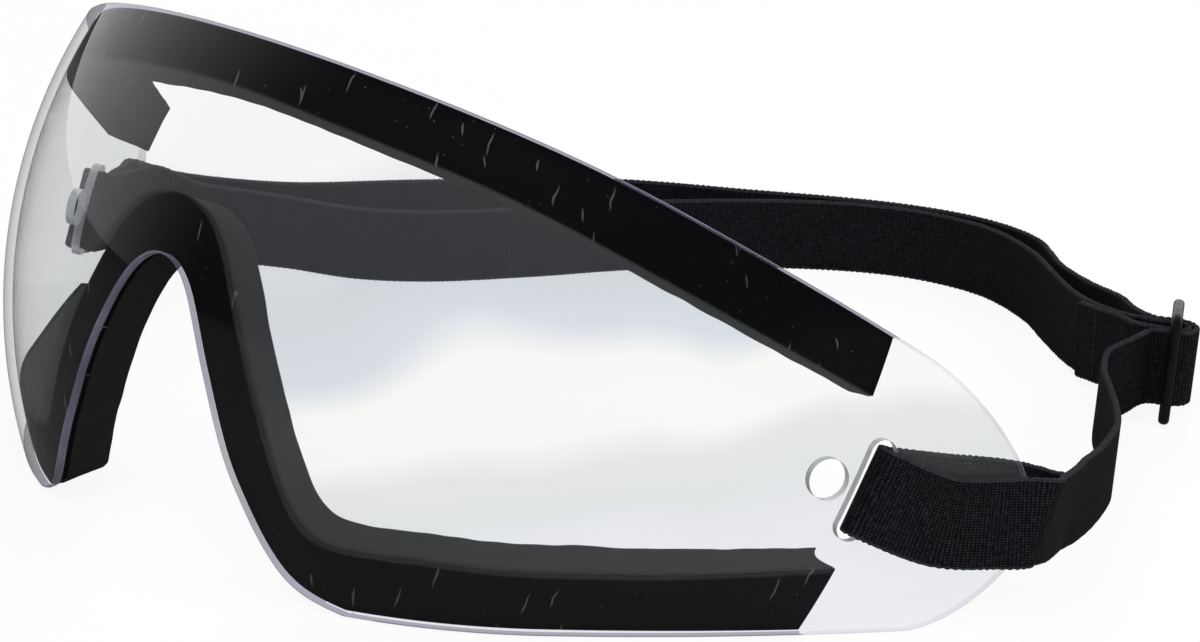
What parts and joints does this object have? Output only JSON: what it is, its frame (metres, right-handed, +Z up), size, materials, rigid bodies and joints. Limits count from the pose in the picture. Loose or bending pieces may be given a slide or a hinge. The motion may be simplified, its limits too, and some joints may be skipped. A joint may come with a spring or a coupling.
{
  "type": "sports protective goggles",
  "caption": "Wrap-round clear protective goggles with brow and cheek foam pads, vent holes, and an elastic head strap threaded through temple slots and adjusted by a slider.",
  "frame": {"origin": "centre of the footprint, on the surface the goggles stand on", "axes": "-Y is the way the front of the lens faces, +Y runs back along the strap, +X is towards the wearer's left temple, +Z is up from the resting surface"},
  "size_m": [0.218, 0.2404, 0.0859],
  "materials": {
    "lens": "clear polished plastic sheet with a faint cool tint",
    "tape": "thin adhesive tape, seen through the lens",
    "foam": "closed-cell foam, fine grain, matt",
    "webbing": "knitted elastic webbing with fine ribs",
    "slider": "moulded plastic, glossy",
    "thread": "sewing thread"
  },
  "bodies": {
    "front": {"lens": "lens", "brow_tape": "tape", "brow_foam": "foam", "cheek_tape": "tape", "cheek_foam": "foam"},
    "strap": {"strap": "webbing", "loop_stitching": "thread", "slider_stitching": "thread"},
    "slider": {"slider": "slider"}
  },
  "joints": [
    {"name": "strap_tilt", "type": "hinge", "parent": "front", "child": "strap", "pos_m": [0, -0.0508, 0.0247], "axis": [1, 0, 0], "range_deg": [0, 8]},
    {"name": "slider_pivot", "type": "hinge", "parent": "strap", "child": "slider", "pos_m": [0.06595, 0.08262, 0.0111], "axis": [0, 0, 1], "range_deg": [-10, 10]}
  ]
}
